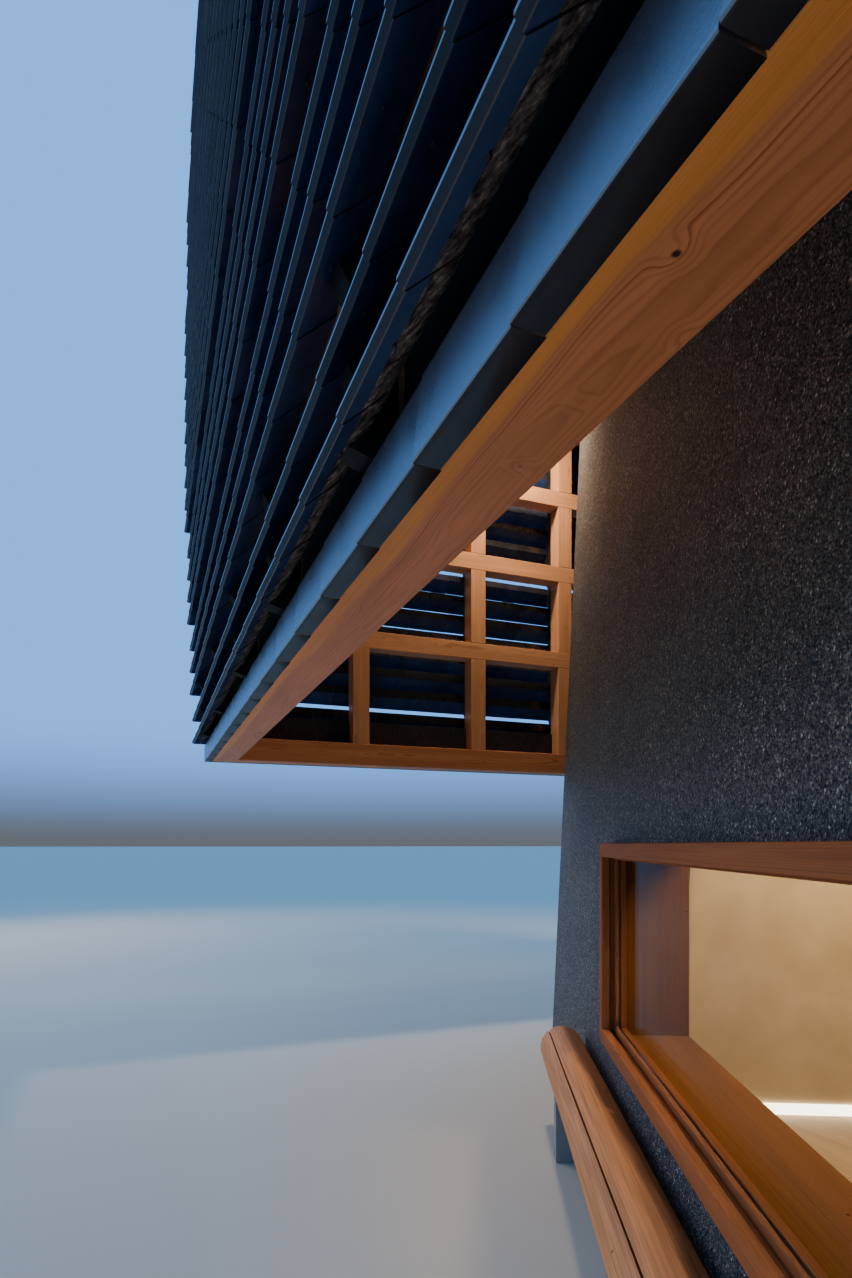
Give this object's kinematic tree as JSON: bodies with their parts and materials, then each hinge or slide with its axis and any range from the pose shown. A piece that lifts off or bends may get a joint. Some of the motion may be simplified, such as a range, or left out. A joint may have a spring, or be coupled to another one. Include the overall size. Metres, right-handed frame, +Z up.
{
  "type": "machiya townhouse",
  "caption": "Two-storey town house: battered gravel-finish walls with a low wide window, wrapped above by a cedar lattice carrying louvre rows of clay tiles, under a hipped roof.",
  "frame": {"origin": "middle of the house's plan at ground level", "axes": "+X to the right along the street front as seen from the street, +Y inwards from the street, +Z up"},
  "size_m": [9.64, 7.82, 8.793],
  "materials": {
    "concrete": "cast concrete",
    "floor_boards": "oiled boards",
    "gravel_wall": "washed gravel render",
    "plaster": "smooth earth plaster",
    "cedar": "planed cedar, satin",
    "cedar_dark": "planed cedar, satin",
    "window_timber": "stained and oiled timber",
    "log": "debarked and polished",
    "glass": "clear",
    "rib_board": "black stained board",
    "clay_tile": "smoked clay, satin",
    "roof_tile": "smoked clay, satin"
  },
  "bodies": {
    "root": {"foundation_slab": "concrete", "ground_floor": "floor_boards", "wall_skew_front": "gravel_wall", "wall_front": "gravel_wall", "wall_right": "gravel_wall", "wall_rear": "gravel_wall", "wall_left": "gravel_wall", "wall_plaster": "plaster", "inner_wall": "plaster", "upper_joists": "cedar_dark", "upper_floor": "floor_boards", "window_frame": "window_timber", "window_lining": "window_timber", "window_glass": "glass", "door_frame": "window_timber", "entrance_door": "cedar", "log_bench": "log", "bench_supports": "concrete", "eave_beam_front": "cedar", "eave_beam_right": "cedar", "eave_beam_rear": "cedar", "eave_beam_left": "cedar", "lattice_front": "cedar", "lattice_right": "cedar", "lattice_rear": "cedar", "lattice_left": "cedar", "tile_ribs_front": "rib_board", "tile_ribs_right": "rib_board", "tile_ribs_rear": "rib_board", "tile_ribs_left": "rib_board", "tile_rows_front": "clay_tile", "tile_rows_right": "clay_tile", "tile_rows_rear": "clay_tile", "tile_rows_left": "clay_tile", "fascia_front": "clay_tile", "fascia_right": "clay_tile", "fascia_rear": "clay_tile", "fascia_left": "clay_tile", "top_plates": "cedar", "roof_ties": "cedar_dark", "roof_front": "roof_tile", "roof_right": "roof_tile", "roof_rear": "roof_tile", "roof_left": "roof_tile", "roof_ridge": "roof_tile"}
  },
  "joints": []
}
